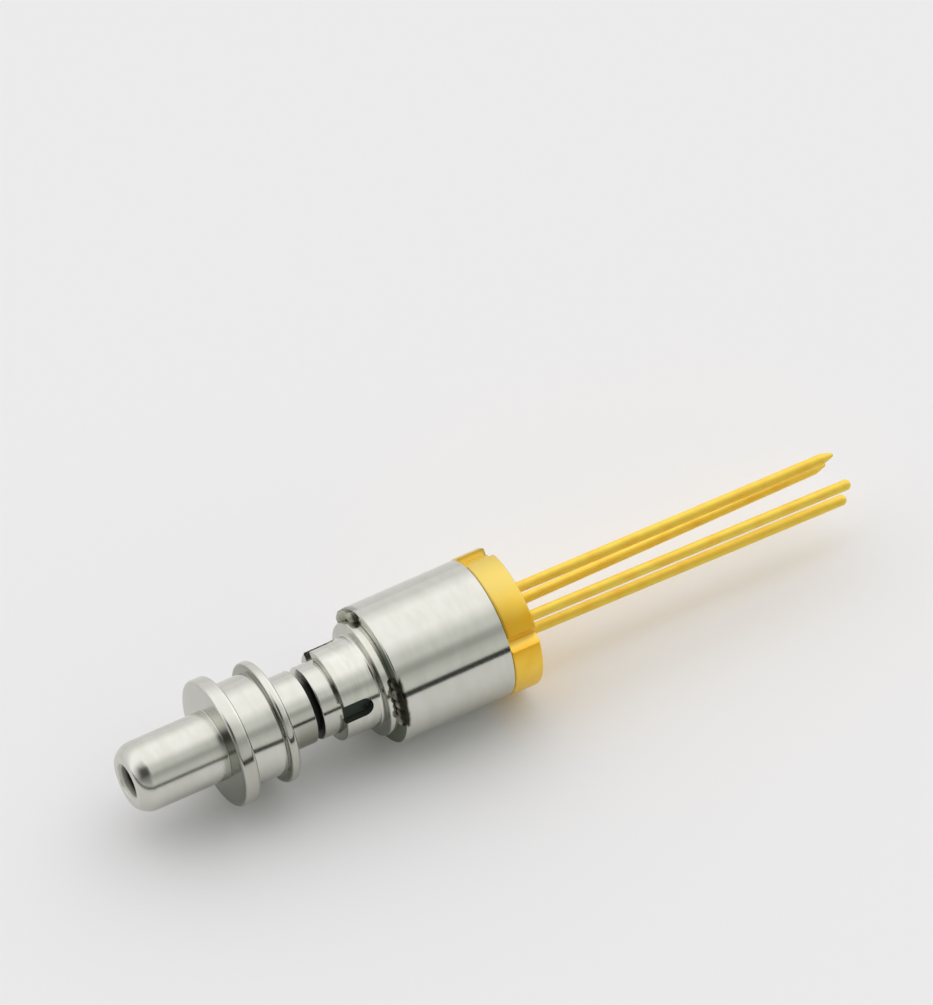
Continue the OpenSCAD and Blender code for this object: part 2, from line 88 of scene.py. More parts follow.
class Field:
    """A number that varies over a surface: one output socket, with arithmetic that adds Math nodes."""

    def __init__(self, graph: "Graph", socket: bpy.types.NodeSocket) -> None:
        """Wraps one socket of a graph."""
        self.graph = graph
        self.socket = socket

    def math(self, operation: str, first: "Number", second: "Number" = 0.0) -> "Field":
        """Adds one Math node.

        Args:
            operation: The Math node's operation.
            first: Its first number.
            second: Its second number.

        Returns:
            The node's result.
        """
        made = self.graph.node("ShaderNodeMath", {"operation": operation}, {0: first, 1: second})
        return Field(self.graph, made.outputs[0])

    def __add__(self, other: "Number") -> "Field":
        """Sum."""
        return self.math("ADD", self, other)

    def __radd__(self, other: "Number") -> "Field":
        """Sum with a number on the left."""
        return self.math("ADD", other, self)

    def __sub__(self, other: "Number") -> "Field":
        """Difference."""
        return self.math("SUBTRACT", self, other)

    def __rsub__(self, other: "Number") -> "Field":
        """Difference from a number on the left."""
        return self.math("SUBTRACT", other, self)

    def __mul__(self, other: "Number") -> "Field":
        """Product."""
        return self.math("MULTIPLY", self, other)

    def __rmul__(self, other: "Number") -> "Field":
        """Product with a number on the left."""
        return self.math("MULTIPLY", other, self)

    def __truediv__(self, other: "Number") -> "Field":
        """Quotient."""
        return self.math("DIVIDE", self, other)

    def __pow__(self, other: "Number") -> "Field":
        """Power."""
        return self.math("POWER", self, other)

    def __neg__(self) -> "Field":
        """The number with its sign turned."""
        return self.math("SUBTRACT", 0.0, self)

    def __abs__(self) -> "Field":
        """The number without its sign."""
        return self.math("ABSOLUTE", self)

    def angle_to(self, other: "Field") -> "Field":
        """Angle of the point (other, self) in radians."""
        return self.math("ARCTAN2", self, other)

    def ease(self, low: float, high: float) -> "Field":
        """Rises smoothly from 0 at low to 1 at high.

        Args:
            low: Where the rise starts.
            high: Where it ends.

        Returns:
            The share of the rise, from 0 to 1.
        """
        made = self.graph.node(
            "ShaderNodeMapRange",
            {"interpolation_type": "SMOOTHSTEP"},
            {"Value": self, "From Min": low, "From Max": high},
        )
        return Field(self.graph, made.outputs["Result"])

    def over(self, low: float, high: float) -> "Field":
        """Rises smoothly from 0 at low to 1 at high, both in millimetres."""
        return self.ease(low * MM, high * MM)

    def past(self, place: float, soft: float) -> "Field":
        """Rises from 0 to 1 across a place, over the distance soft on either side of it, in millimetres."""
        return self.over(place - soft, place + soft)


Number = Union[Field, float]
Link = Union[Field, bpy.types.NodeSocket]


class Graph:
    """The node tree of one material or of the world."""

    def __init__(self, tree: bpy.types.NodeTree) -> None:
        """Empties the tree."""
        self.tree = tree
        tree.nodes.clear()

    def node(
        self,
        kind: str,
        settings: Mapping[str, Any] | None = None,
        inputs: Mapping[str | int, Any] | None = None,
    ) -> bpy.types.Node:
        """Adds one node.

        Args:
            kind: The node's type.
            settings: Its properties, and under stops the positions and colours of a ramp.
            inputs: Values or links of its sockets, by name, identifier or place.

        Returns:
            The node.
        """
        made = self.tree.nodes.new(kind)
        for name, value in (settings or {}).items():
            if name == "stops":
                self._stops(made.color_ramp.elements, value)
            else:
                setattr(made, name, value)
        for key, value in (inputs or {}).items():
            socket = self._socket(made, key)
            if isinstance(value, Field):
                value = value.socket
            if isinstance(value, bpy.types.NodeSocket):
                self.tree.links.new(value, socket)
            elif isinstance(value, tuple) and socket.type == "RGBA":
                socket.default_value = (*value, 1.0)
            else:
                socket.default_value = value
        return made

    @staticmethod
    def _stops(elements: Any, stops: Sequence[tuple[float, Colour]]) -> None:
        """Sets the stops of a colour ramp.

        Args:
            elements: The ramp's stops, of which there are two at first.
            stops: Their places and colours.
        """
        for i, (place, colour) in enumerate(stops):
            stop = elements[i] if i < len(elements) else elements.new(place)
            stop.position = place
            stop.color = (*colour, 1.0)

    @staticmethod
    def _socket(made: bpy.types.Node, key: str | int) -> bpy.types.NodeSocket:
        """Finds an input.

        Args:
            made: The node.
            key: The input's place, identifier or name.

        Returns:
            The input.
        """
        if isinstance(key, int):
            return made.inputs[key]
        return next(s for s in made.inputs if key in (s.identifier, s.name))

    def place(self) -> bpy.types.NodeSocket:
        """Object coordinates, in metres."""
        return self.node("ShaderNodeTexCoord").outputs["Object"]

    def split(self, vector: bpy.types.NodeSocket) -> tuple[Field, ...]:
        """The three numbers of a vector."""
        parts = self.node("ShaderNodeSeparateXYZ", None, {"Vector": vector})
        return tuple(Field(self, number) for number in parts.outputs)

    def polar(self, place: bpy.types.NodeSocket) -> tuple[Field, Field]:
        """Place along the light axis and distance from it, in metres."""
        x, y, z = self.split(place)
        return x, (y * y + z * z) ** 0.5

    def mix(self, share: Number, low: Link | Colour, high: Link | Colour) -> bpy.types.NodeSocket:
        """Mixes two colours.

        Args:
            share: Share of the second colour.
            low: First colour.
            high: Second colour.

        Returns:
            The mixed colour.
        """
        made = self.node(
            "ShaderNodeMix",
            {"data_type": "RGBA"},
            {"Factor_Float": share, "A_Color": low, "B_Color": high},
        )
        return next(s for s in made.outputs if s.identifier == "Result_Color")

    def stretch(self, place: bpy.types.NodeSocket, scale: Colour) -> bpy.types.NodeSocket:
        """Coordinates scaled along each axis."""
        made = self.node("ShaderNodeVectorMath", {"operation": "MULTIPLY"}, {0: place, 1: scale})
        return made.outputs["Vector"]

    def along(self, place: bpy.types.NodeSocket, direction: Vector) -> Field:
        """How far a place lies in a direction."""
        made = self.node("ShaderNodeVectorMath", {"operation": "DOT_PRODUCT"}, {0: place, 1: direction})
        return Field(self, made.outputs["Value"])

    def grain(self, place: bpy.types.NodeSocket, size: float, detail: float = 3.0) -> Field:
        """Soft cloudy noise.

        Args:
            place: Coordinates in metres.
            size: Size of a patch in millimetres.
            detail: Octaves of finer noise.

        Returns:
            The noise, about 0.5 on average.
        """
        made = self.node(
            "ShaderNodeTexNoise", None, {"Vector": place, "Scale": 1 / (size * MM), "Detail": detail}
        )
        return Field(self, next(iter(made.outputs)))

    def rings(self, along: Field, pitch: float) -> Field:
        """Noise that varies along one line only, as the marks of a turning tool do.

        Args:
            along: Place along the line in metres.
            pitch: Distance between marks in millimetres.

        Returns:
            The noise, about 0.5 on average.
        """
        made = self.node(
            "ShaderNodeTexNoise",
            {"noise_dimensions": "1D"},
            {"W": along, "Scale": 1 / (pitch * MM), "Detail": 2.0},
        )
        return Field(self, next(iter(made.outputs)))

    def bump(self, height: Number, depth: float) -> bpy.types.NodeSocket:
        """A normal from a height.

        Args:
            height: The height, from 0 to 1.
            depth: What a height of 1 stands for, in millimetres.

        Returns:
            The normal.
        """
        made = self.node("ShaderNodeBump", None, {"Height": height, "Distance": depth * MM})
        return made.outputs["Normal"]

    def surface(self, **sockets: Any) -> None:
        """Ends the tree in a Principled shader.

        Args:
            sockets: The shader's sockets, with underscores for spaces.
        """
        named = {name.replace("_", " "): value for name, value in sockets.items()}
        shader = self.node("ShaderNodeBsdfPrincipled", None, named)
        self.node("ShaderNodeOutputMaterial", None, {"Surface": shader.outputs[0]})


@dataclass(frozen=True)
class Finish:
    """A surface finish, which makes one procedural material."""

    name: str
    slot: str
    made: ClassVar[dict[str, bpy.types.Material]] = {}

    def material(self) -> bpy.types.Material:
        """Makes the material on first use.

        Returns:
            The material.
        """
        if self.name not in Finish.made:
            material = bpy.data.materials.new(self.name)
            material.use_nodes = True
            self.paint(Graph(material.node_tree))
            Finish.made[self.name] = material
        return Finish.made[self.name]

    def paint(self, graph: Graph) -> None:
        """Fills the material's node tree."""
        raise NotImplementedError


@dataclass(frozen=True)
class ShadedSeam:
    """Painted shade in the corner of a face across the axis: its place (millimetres) and its share on the
    upper and lower side.
    """

    x: float
    upper: float
    lower: float

    def share(self, x: Field, low: Field) -> Field:
        """Share of painted shade at a place along the axis and a distance below it."""
        near = 1 - abs(x - self.x * MM).over(0.02, 0.06)
        return near * (low.over(-1.0, 0.6) * (self.lower - self.upper) + self.upper)


@dataclass(frozen=True)
class TurnedSteel(Finish):
    """Bright turned steel: fine tool rings, faint mottling, dulled metal and painted shade in bores and gaps.

    Nearer to the axis than dull_r, the metal is matt up to the place bore_x and dulled from there on, with
    painted shade for its colour, except where its upper side lies above the range dull_top. Behind the place
    shade_x it is dulled, with painted shade for its colour. In front of soot_and_shade_x it is dulled and
    darker, more so
    on the lower side: smoke stain and painted shade. Painted shade darkens the underside by the share under,
    outside the radius under_r, and by the share grime over the stretch lower_shade_x of the axis, and it
    darkens the corners at the faces seams. Heat from the welds tints the stretch tint_x straw.
    What stands out in front of the origin, the nose, is rougher by nose_rough. Welds at the clock angles
    burns have burnt the metal up to the place burn_x, outside the radius burn_r, and the edge of the burn
    frays by burn_fray. All places are in millimetres.
    """

    colour: Colour = (0.62, 0.62, 0.565)
    cloud: Colour = (0.585, 0.585, 0.525)
    # Nearly black colour deep in bores and gaps: painted shade
    bore_shade: Colour = (0.012, 0.013, 0.011)
    # Colour behind shade_x: painted shade
    shade: Colour = (0.016, 0.017, 0.014)
    # Colour of smoke stain and of painted shade, on front faces and in corners
    soot_and_shade: Colour = (0.15, 0.175, 0.125)
    # Colour of the painted shade on the underside
    lower_shade_colour: Colour = (0.20, 0.19, 0.14)
    straw: Colour = (0.56, 0.49, 0.37)
    roughness: float = 0.11
    nose_rough: float = 0.06
    ring_pitch: float = 0.06
    ring_depth: float = 0.0013
    dull_r: float = 0.0
    dull_top: tuple[float, float] = (-1001.0, -1000.0)
    bore_x: float = -1000.0
    shade_x: float = 1000.0
    soot_and_shade_x: float = -1000.0
    shaded_seams: tuple[ShadedSeam, ...] = ()
    under: float = 0.0
    under_r: float = 0.0
    lower_shade_x: tuple[float, float] = (1000.0, 1001.0)
    lower_shade: float = 0.0
    tint_x: tuple[float, float] = (1000.0, 1001.0)
    tint: float = 0.0
    burns: tuple[float, ...] = ()
    burn_r: float = 0.0
    burn_x: float = -1000.0
    burn_fray: float = 0.18
    burnt: Colour = (0.028, 0.030, 0.018)

    def scorch(self, graph: Graph, place: bpy.types.NodeSocket, x: Field) -> Field:
        """Burn marks beside the welds, with uneven edges and fainter on the upper side.

        Args:
            graph: The material's node tree.
            place: Object coordinates.
            x: Place along the axis.

        Returns:
            Their share, from 0 to 1.
        """
        fray = (graph.grain(place, 0.5, 1.0) - 0.5) * (self.burn_fray * MM)
        strength = graph.along(place, UNDERSIDE).over(-2.2, 0.2) * 0.6 + 0.4
        out = [graph.along(place, arm(clock)) + fray for clock in self.burns]
        beside = sum((distance.past(self.burn_r, 0.05) for distance in out), 0.0)
        return beside * strength * (1 - (x + fray).past(self.burn_x, 0.07))

    def paint(self, graph: Graph) -> None:
        """Fills the material's node tree.

        Args:
            graph: The tree.
        """
        place = graph.place()
        x, r = graph.polar(place)
        rings = graph.rings(x + r, self.ring_pitch)
        mottle = graph.grain(graph.stretch(place, (1.0, 0.35, 0.35)), 0.4)
        soft = 0.03
        low = graph.along(place, UNDERSIDE)
        bore = 1 - r.past(self.dull_r, soft)
        deep = x.past(self.bore_x, 0.1)
        # Deep in the bore, except on the upper side: dulled metal with painted shade for its colour
        dulled_and_shaded_bore = bore * deep * low.over(*self.dull_top)
        mouth = bore * (1 - deep)
        # Behind shade_x: dulled metal with painted shade for its colour
        shaded = x.past(self.shade_x, soft)
        # In front of soot_and_shade_x, darker towards the bottom: smoke stain and painted shade
        sooty_and_shaded = (1 - x.past(self.soot_and_shade_x, soft / 2)) * low.over(-2.2, 0.1)
        dulled = (dulled_and_shaded_bore + shaded + sooty_and_shaded).ease(0.0, 1.0)
        ahead = 1 - x.past(0.0, 0.05)
        # Painted shade in the corners at the faces seams
        corner_shade = sum((shaded_seam.share(x, low) for shaded_seam in self.shaded_seams), 0.0)
        # Painted shade on the underside, outside under_r, and over the stretch lower_shade_x
        rim = r.over(self.under_r - 0.1, self.under_r) * self.under
        lower_shade = low.over(0.1, 1.2) * (x.over(*self.lower_shade_x) * self.lower_shade + rim)
        heated = x.over(*self.tint_x) * mottle.ease(0.25, 0.7) * self.tint
        bright = graph.mix(mottle.ease(0.3, 0.75), self.colour, self.cloud)
        # Painted shade of the underside, mixed over the straw heat tint
        painted_light = graph.mix(lower_shade, graph.mix(heated, bright, self.straw), self.lower_shade_colour)
        shadowed = graph.mix(shaded, graph.mix(corner_shade, painted_light, self.soot_and_shade), self.shade)
        darkened = graph.mix(sooty_and_shaded, shadowed, self.soot_and_shade)
        scorched = graph.mix(self.scorch(graph, place, x), darkened, self.burnt)
        rough = self.roughness + ahead * self.nose_rough + rings * 0.04 + mottle * 0.02
        graph.surface(
            Base_Color=graph.mix(dulled_and_shaded_bore, scorched, self.bore_shade),
            Metallic=1.0 - dulled * 0.4 - mouth * 0.6,
            Roughness=rough + (dulled + mouth) * 0.3,
            Normal=graph.bump(rings, self.ring_depth),
        )


@dataclass(frozen=True)
class GoldPlate(Finish):
    """Satin gold plate with a fine grain and redder patches.

    Over the share worn, the rim has a painted sheen, paler on its upper side, and painted shade, redder on
    its front. Notches, which lie nearer to the axis than notch_r over its stretch notch_x (millimetres), are
    brighter, most so on the upper side: painted light.
    """

    colour: Colour = (0.93, 0.64, 0.10)
    deep: Colour = (0.92, 0.51, 0.035)
    # Colour of the painted sheen on the upper side
    pale: Colour = (0.74, 0.57, 0.15)
    # Colour of the notches: painted light
    bright: Colour = (1.0, 0.80, 0.27)
    roughness: float = 0.37
    coat: float = 0.0
    grain: float = 0.08
    depth: float = 0.0025
    painted_light: float = 0.0
    notch_r: float = 0.0
    notch_x: tuple[float, float] = (0.0, 0.0)

    def paint(self, graph: Graph) -> None:
        """Fills the material's node tree.

        Args:
            graph: The tree.
        """
        place = graph.place()
        x, r = graph.polar(place)
        low = graph.along(place, UNDERSIDE)
        soft = 0.06
        rim = r.over(self.notch_r - 0.2, self.notch_r)
        start, end = self.notch_x
        inside = x.over(start, start + soft) * (1 - x.over(end - soft, end))
        # Upper side: painted sheen
        upper = 1 - low.over(-1.3, -0.2)
        # Band facing the front: painted shade, deeper and redder
        front = low.over(-0.4, 0.5) * (1 - low.over(1.3, 2.1)) * rim
        patches = graph.grain(place, 0.7)
        grain = graph.grain(place, self.grain, 2.0)
        plate = graph.mix(patches.ease(0.35, 0.8) * 0.4 + front * self.painted_light * 0.8, self.colour, self.deep)
        # Painted sheen on the upper side
        painted_sheen = graph.mix(upper * self.painted_light, plate, self.pale)
        graph.surface(
            # Notches lighter, most on the upper side: painted light
            Base_Color=graph.mix(inside * (1 - rim) * (upper * 0.7 + 0.3), painted_sheen, self.bright),
            Metallic=1.0,
            Roughness=self.roughness + patches * 0.08 + grain * 0.04,
            Coat_Weight=self.coat,
            Coat_Roughness=0.25,
            Normal=graph.bump(grain, self.depth),
        )


@dataclass(frozen=True)
class BurntWeld(Finish):
    """Weld metal, burnt olive black with brown specks.

    It is greyer on the upper side and in front of the place front_x (millimetres).
    """

    front_x: float = 6.63
    soot_and_shade: Colour = (0.016, 0.018, 0.012)
    brown: Colour = (0.045, 0.033, 0.013)
    bare: Colour = (0.44, 0.435, 0.36)

    def paint(self, graph: Graph) -> None:
        """Fills the material's node tree.

        Args:
            graph: The tree.
        """
        place = graph.place()
        x, _, _ = graph.split(place)
        upper = 1 - graph.along(place, UNDERSIDE).over(-2.2, 1.0)
        front = 1 - x.past(self.front_x, 0.07)
        clouds = graph.grain(place, 0.30, 2.0)
        fine = graph.grain(place, 0.07, 3.0)
        burnt = graph.mix(clouds.ease(0.50, 0.64), self.soot_and_shade, self.brown)
        clean = (clouds * 0.6 + upper * 0.28 + front * 0.4).ease(0.38, 0.86)
        graph.surface(
            Base_Color=graph.mix(clean, burnt, self.bare),
            Metallic=0.85,
            Roughness=0.34 + fine * 0.3,
            Normal=graph.bump(fine, 0.010),
        )


@dataclass(frozen=True)
class Ceramic(Finish):
    """Fired ceramic: pale, fine grained and faintly glossy."""

    colour: Colour = (0.84, 0.82, 0.77)
    shade: Colour = (0.76, 0.73, 0.66)
    roughness: float = 0.28

    def paint(self, graph: Graph) -> None:
        """Fills the material's node tree.

        Args:
            graph: The tree.
        """
        place = graph.place()
        grain = graph.grain(place, 0.12)
        graph.surface(
            Base_Color=graph.mix(grain.ease(0.3, 0.75), self.colour, self.shade),
            Roughness=self.roughness + grain * 0.1,
            Normal=graph.bump(grain, 0.001),
        )


@dataclass(frozen=True)
class SealGlass(Finish):
    """Opaque fused glass with a glossy skin and small bubbles."""

    colour: Colour = (0.045, 0.06, 0.058)
    milk: Colour = (0.12, 0.15, 0.145)

    def paint(self, graph: Graph) -> None:
        """Fills the material's node tree.

        Args:
            graph: The tree.
        """
        place = graph.place()
        clouds = graph.grain(place, 0.25)
        bubbles = graph.grain(place, 0.05, 1.0)
        graph.surface(
            Base_Color=graph.mix(clouds.ease(0.35, 0.75), self.colour, self.milk),
            Roughness=0.10 + bubbles * 0.12,
            Coat_Weight=0.6,
            Normal=graph.bump(bubbles, 0.004),
        )


@dataclass(frozen=True)
class ClearGlass(Finish):
    """Clear optical glass with a faint tint."""

    colour: Colour = (0.93, 0.97, 0.98)
    ior: float = 1.5

    def paint(self, graph: Graph) -> None:
        """Fills the material's node tree."""
        haze = graph.grain(graph.place(), 0.2)
        graph.surface(
            Base_Color=self.colour,
            Roughness=0.01 + haze * 0.03,
            IOR=self.ior,
            Transmission_Weight=1.0,
        )


@dataclass(frozen=True)
class Die(Finish):
    """A semiconductor die: dark, mirror bright, with metal stripes across its faces."""

    colour: Colour = (0.07, 0.065, 0.085)
    pad: Colour = (0.80, 0.58, 0.18)
    stripe: float = 0.09

    def paint(self, graph: Graph) -> None:
        """Fills the material's node tree.

        Args:
            graph: The tree.
        """
        place = graph.place()
        wave = graph.node("ShaderNodeTexWave", None, {"Vector": place, "Scale": 0.3 / (self.stripe * MM)})
        pads = Field(graph, wave.outputs["Fac"]).ease(0.55, 0.6)
        graph.surface(
            Base_Color=graph.mix(pads, self.colour, self.pad),
            Metallic=0.4 + pads * 0.6,
            Roughness=0.12 + pads * 0.14,
        )


@dataclass(frozen=True)
class WeldPlan:
    """Where the three welds and the slots in front of them sit."""

    count: int = 3
    first_clock: float = 158.0

    def clocks(self) -> tuple[float, ...]:
        """Clock angle of each weld in degrees."""
        return tuple(self.first_clock + 360.0 / self.count * i for i in range(self.count))


STEEL = "turned_steel"
# The shell is darker on its underside, over the neck and in its corners: painted shade
SHELL_STEEL = TurnedSteel(
    "shell_steel", STEEL, dull_r=0.74, bore_x=-3.42, shade_x=3.72, lower_shade_x=(2.4, 3.0), lower_shade=0.75, under=0.3,
    under_r=2.3, shaded_seams=(ShadedSeam(0.0, 0.17, 0.7), ShadedSeam(2.06, 0.7, 0.65)),
)
# The holder's shade colour behind shade_x and its darker underside are painted shade
HOLDER_STEEL = TurnedSteel(
    "holder_steel", STEEL, shade=(0.030, 0.042, 0.034), dull_r=1.44, dull_top=(-1.4, -0.6), shade_x=4.79,
    under=0.25,
)
# The sleeve's seams are painted shade in its corners; its straw tint is heat colour
SLEEVE_STEEL = TurnedSteel(
    "sleeve_steel", STEEL, colour=(0.67, 0.67, 0.61), dull_r=1.50, tint_x=(5.3, 6.4), tint=0.08,
    shaded_seams=(ShadedSeam(4.75, 0.35, 0.8), ShadedSeam(6.34, 0.3, 0.75)),
)
# The barrel's front face, in front of soot_and_shade_x, is darker towards the bottom: smoke stain and painted
# shade
BARREL_STEEL = TurnedSteel(
    "barrel_steel", STEEL, roughness=0.09, ring_pitch=0.08, soot_and_shade_x=6.80, burns=WeldPlan().clocks(),
    burn_r=2.55, burn_x=6.94,
)
CAP_STEEL = TurnedSteel("drawn_can_steel", "can_steel", roughness=0.24)
# The header carries the painted sheen, the painted shade on its front and the painted light in its notches
GOLD = GoldPlate("satin_gold", "gold_plate", painted_light=1.0, notch_r=2.80, notch_x=(11.50, 12.66))
LEAD_GOLD = GoldPlate("lead_gold", "gold_plate", colour=(0.94, 0.735, 0.115), roughness=0.62, coat=0.5)
WIRE_GOLD = GoldPlate("bond_wire_gold", "bond_gold", roughness=0.18, grain=0.02, depth=0.0005)
WELD = BurntWeld("burnt_weld", "weld_metal")
ZIRCONIA = Ceramic("white_zirconia", "zirconia")
TILE = Ceramic("ceramic_carrier", "ceramic_tile", colour=(0.80, 0.78, 0.70), roughness=0.5)
BEAD = SealGlass("lead_bead_glass", "bead_glass")
FRIT = SealGlass("lens_frit_glass", "frit_glass", colour=(0.10, 0.11, 0.10), milk=(0.2, 0.2, 0.18))
LENS = ClearGlass("ball_lens_glass", "lens_glass")
FIBRE = ClearGlass("fibre_silica", "silica", ior=1.46)
LASER_DIE = Die("laser_die", "laser_die")
DIODE_DIE = Die("photodiode_die", "diode_die", colour=(0.05, 0.06, 0.11), stripe=0.14)


@dataclass(frozen=True)
class Corner:
    """A corner of a turned outline, in millimetres.

    x is its place along the light axis, r its distance from the axis, rounding what the rounding takes off
    each side of the corner and steps the number of faces across it.
    """

    x: float
    r: float
    rounding: float = 0.0
    steps: int = ROUND_STEPS

    def place(self) -> Vector:
        """The corner as a point in metres."""
        return Vector((self.x, 0.0, self.r)) * MM


class Bench:
    """Modelling with operators, one mesh at a time."""

    def clear(self) -> None:
        """Deselects everything."""
        bpy.ops.object.select_all(action="DESELECT")

    def take(self, piece: bpy.types.Object) -> None:
        """Makes one object the only selected one and the active one.

        Args:
            piece: The object.
        """
        self.clear()
        piece.select_set(True)
        bpy.context.view_layer.objects.active = piece

    def named(self, name: str) -> bpy.types.Object:
        """Names the object that an operator has just added.

        Args:
            name: Name of the object and of its mesh.

        Returns:
            The object.
        """
        piece = bpy.context.active_object
        piece.name = name
        piece.data.name = name
        return piece

    def edit(self, piece: bpy.types.Object) -> None:
        """Opens a mesh for editing, with all of it selected.

        Args:
            piece: The object.
        """
        self.take(piece)
        bpy.ops.object.mode_set(mode="EDIT")
        bpy.ops.mesh.select_mode(type="VERT")
        bpy.ops.mesh.select_all(action="SELECT")

    def done(self) -> None:
        """Closes the mesh that is being edited."""
        bpy.ops.object.mode_set(mode="OBJECT")

    def pick(self, piece: bpy.types.Object, test: Callable[[Vector], bool]) -> None:
        """Selects the vertices of the edited mesh whose place passes a test.

        Args:
            piece: The object in edit mode.
            test: Says whether a place is picked.
        """
        mesh = bmesh.from_edit_mesh(piece.data)
        for vertex in mesh.verts:
            vertex.select_set(test(vertex.co))
        mesh.select_flush_mode()
        bmesh.update_edit_mesh(piece.data)

    def pick_edges(self, piece: bpy.types.Object, test: Callable[[Vector, Vector], bool]) -> None:
        """Selects the edges of the edited mesh whose two ends pass a test.

        Args:
            piece: The object in edit mode.
            test: Says whether an edge with these ends is picked.
        """
        bpy.ops.mesh.select_mode(type="EDGE")
        bpy.ops.mesh.select_all(action="DESELECT")
        mesh = bmesh.from_edit_mesh(piece.data)
        for edge in mesh.edges:
            edge.select_set(test(edge.verts[0].co, edge.verts[1].co))
        bmesh.update_edit_mesh(piece.data)

    def turn(
        self, name: str, outline: Sequence[Corner], closed: bool = True, steps: int = TURN_STEPS
    ) -> bpy.types.Object:
        """Turns an outline about the light axis into a solid.

        Args:
            name: Name of the new object.
            outline: Corners of the section, in order.
            closed: Whether the last corner joins the first; otherwise both ends lie on the axis.
            steps: Number of faces round the axis.

        Returns:
            The solid.
        """
        self.clear()
        bpy.ops.mesh.primitive_plane_add(size=MM)
        piece = self.named(name)
        self.edit(piece)
        bpy.ops.mesh.merge(type="CENTER")
        bpy.ops.transform.translate(value=outline[0].place())
        for last, corner in zip(outline, outline[1:]):
            step = corner.place() - last.place()
            bpy.ops.mesh.extrude_region_move(TRANSFORM_OT_translate={"value": step})
        if closed:
            ends = (outline[0].place(), outline[-1].place())
            self.pick(piece, lambda at: any((at - end).length < TOUCH for end in ends))
            bpy.ops.mesh.edge_face_add()
        for corner in outline:
            if corner.rounding:
                self.pick(piece, lambda at, spot=corner.place(): (at - spot).length < TOUCH)
                bpy.ops.mesh.bevel(offset=corner.rounding * MM, segments=corner.steps, affect="VERTICES")
        bpy.ops.mesh.select_all(action="SELECT")
        bpy.ops.mesh.spin(steps=steps, angle=math.tau, center=(0, 0, 0), axis=(1, 0, 0))
        self.weld_shut()
        self.done()
        return piece

    def rod(
        self, name: str, front: float, back: float, r: float, rounding: float = 0.0, steps: int = TURN_STEPS
    ) -> bpy.types.Object:
        """Turns a full rod on the light axis.

        Args:
            name: Name of the new object.
            front: Place of its front end in millimetres.
            back: Place of its back end in millimetres.
            r: Its radius in millimetres.
            rounding: Rounding of its two edges in millimetres.
            steps: Number of faces round the axis.

        Returns:
            The rod.
        """
        ends = [Corner(front, 0.0), Corner(front, r, rounding), Corner(back, r, rounding), Corner(back, 0.0)]
        return self.turn(name, ends, closed=False, steps=steps)

    def weld_shut(self) -> None:
        """Merges the seam of the edited mesh and turns its faces outwards."""
        bpy.ops.mesh.select_all(action="SELECT")
        bpy.ops.mesh.remove_doubles(threshold=TOUCH)
        bpy.ops.mesh.normals_make_consistent(inside=False)

    def block(self, name: str, low: Vector, high: Vector) -> bpy.types.Object:
        """A box between two corners.

        Args:
            name: Name of the new object.
            low: Lowest corner in millimetres.
            high: Highest corner in millimetres.

        Returns:
            The box.
        """
        self.clear()
        bpy.ops.mesh.primitive_cube_add(size=1.0)
        piece = self.named(name)
        self.edit(piece)
        bpy.ops.transform.resize(value=(high - low) * MM)
        bpy.ops.transform.translate(value=(high + low) / 2 * MM)
        self.done()
        return piece

    def clock(self, piece: bpy.types.Object, angle: float) -> bpy.types.Object:
        """Turns an object about the light axis.

        Args:
            piece: The object, which is at the origin.
            angle: Clock angle in degrees, from +Y towards +Z.

        Returns:
            The object, with the turn applied.
        """
        self.take(piece)
        piece.rotation_euler.x = math.radians(angle)
        bpy.ops.object.transform_apply(location=True, rotation=True, scale=True)
        return piece

    def shift(self, piece: bpy.types.Object, offset: Vector) -> bpy.types.Object:
        """Moves a mesh and leaves its object at the origin.

        Args:
            piece: The object.
            offset: The move in metres.

        Returns:
            The object.
        """
        self.edit(piece)
        bpy.ops.transform.translate(value=offset)
        self.done()
        return piece

    def copy(self, piece: bpy.types.Object) -> bpy.types.Object:
        """Copies an object together with its mesh.

        Args:
            piece: The object.

        Returns:
            The copy.
        """
        self.take(piece)
        bpy.ops.object.duplicate()
        return bpy.context.active_object

    def apply(self, piece: bpy.types.Object, kind: str, **settings: Any) -> None:
        """Adds a modifier and applies it.

        Args:
            piece: The object.
            kind: The modifier's type.
            settings: The modifier's properties.
        """
        self.take(piece)
        modifier = piece.modifiers.new(kind.lower(), kind)
        for name, value in settings.items():
            setattr(modifier, name, value)
        bpy.ops.object.modifier_apply(modifier=modifier.name)

    def cut(self, piece: bpy.types.Object, tool: bpy.types.Object, operation: str = "DIFFERENCE") -> None:
        """Cuts one solid with another, or joins them, and removes the tool.

        Args:
            piece: The solid that stays.
            tool: The solid that cuts.
            operation: DIFFERENCE, INTERSECT or UNION.
        """
        self.apply(piece, "BOOLEAN", operation=operation, solver="EXACT", object=tool)
        bpy.data.meshes.remove(tool.data)

    def smooth(self, piece: bpy.types.Object) -> None:
        """Shades a piece smooth between its sharp edges, with flat faces kept flat.

        Args:
            piece: The object.
        """
        self.take(piece)
        bpy.ops.object.shade_smooth_by_angle(angle=math.radians(SMOOTH_ANGLE))
        self.apply(piece, "WEIGHTED_NORMAL", keep_sharp=True)


def coat(piece: bpy.types.Object, finish: Finish) -> None:
    """Gives a piece its finish as its only material."""
    piece.data.materials.clear()
    piece.data.materials.append(finish.material())


def show(piece: bpy.types.Object, node: str, finish: Finish) -> bpy.types.Object:
    """Puts a finished piece in the place of its CAD node.

    Args:
        piece: The modelled piece.
        node: The CAD node that it stands for.
        finish: Its surface finish.

    Returns:
        The piece.
    """
    coat(piece, finish)
    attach(piece, BODY)
    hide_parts(node)
    LOG.info("%s: %d faces, %s", piece.name, len(piece.data.polygons), finish.name)
    return piece


def reach(node: str) -> tuple[float, float, float]:
    """Where a turned node starts and ends along the axis and its largest radius, in millimetres."""
    low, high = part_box(node)
    return low.x / MM, high.x / MM, max(high.y, high.z, -low.y, -low.z) / MM


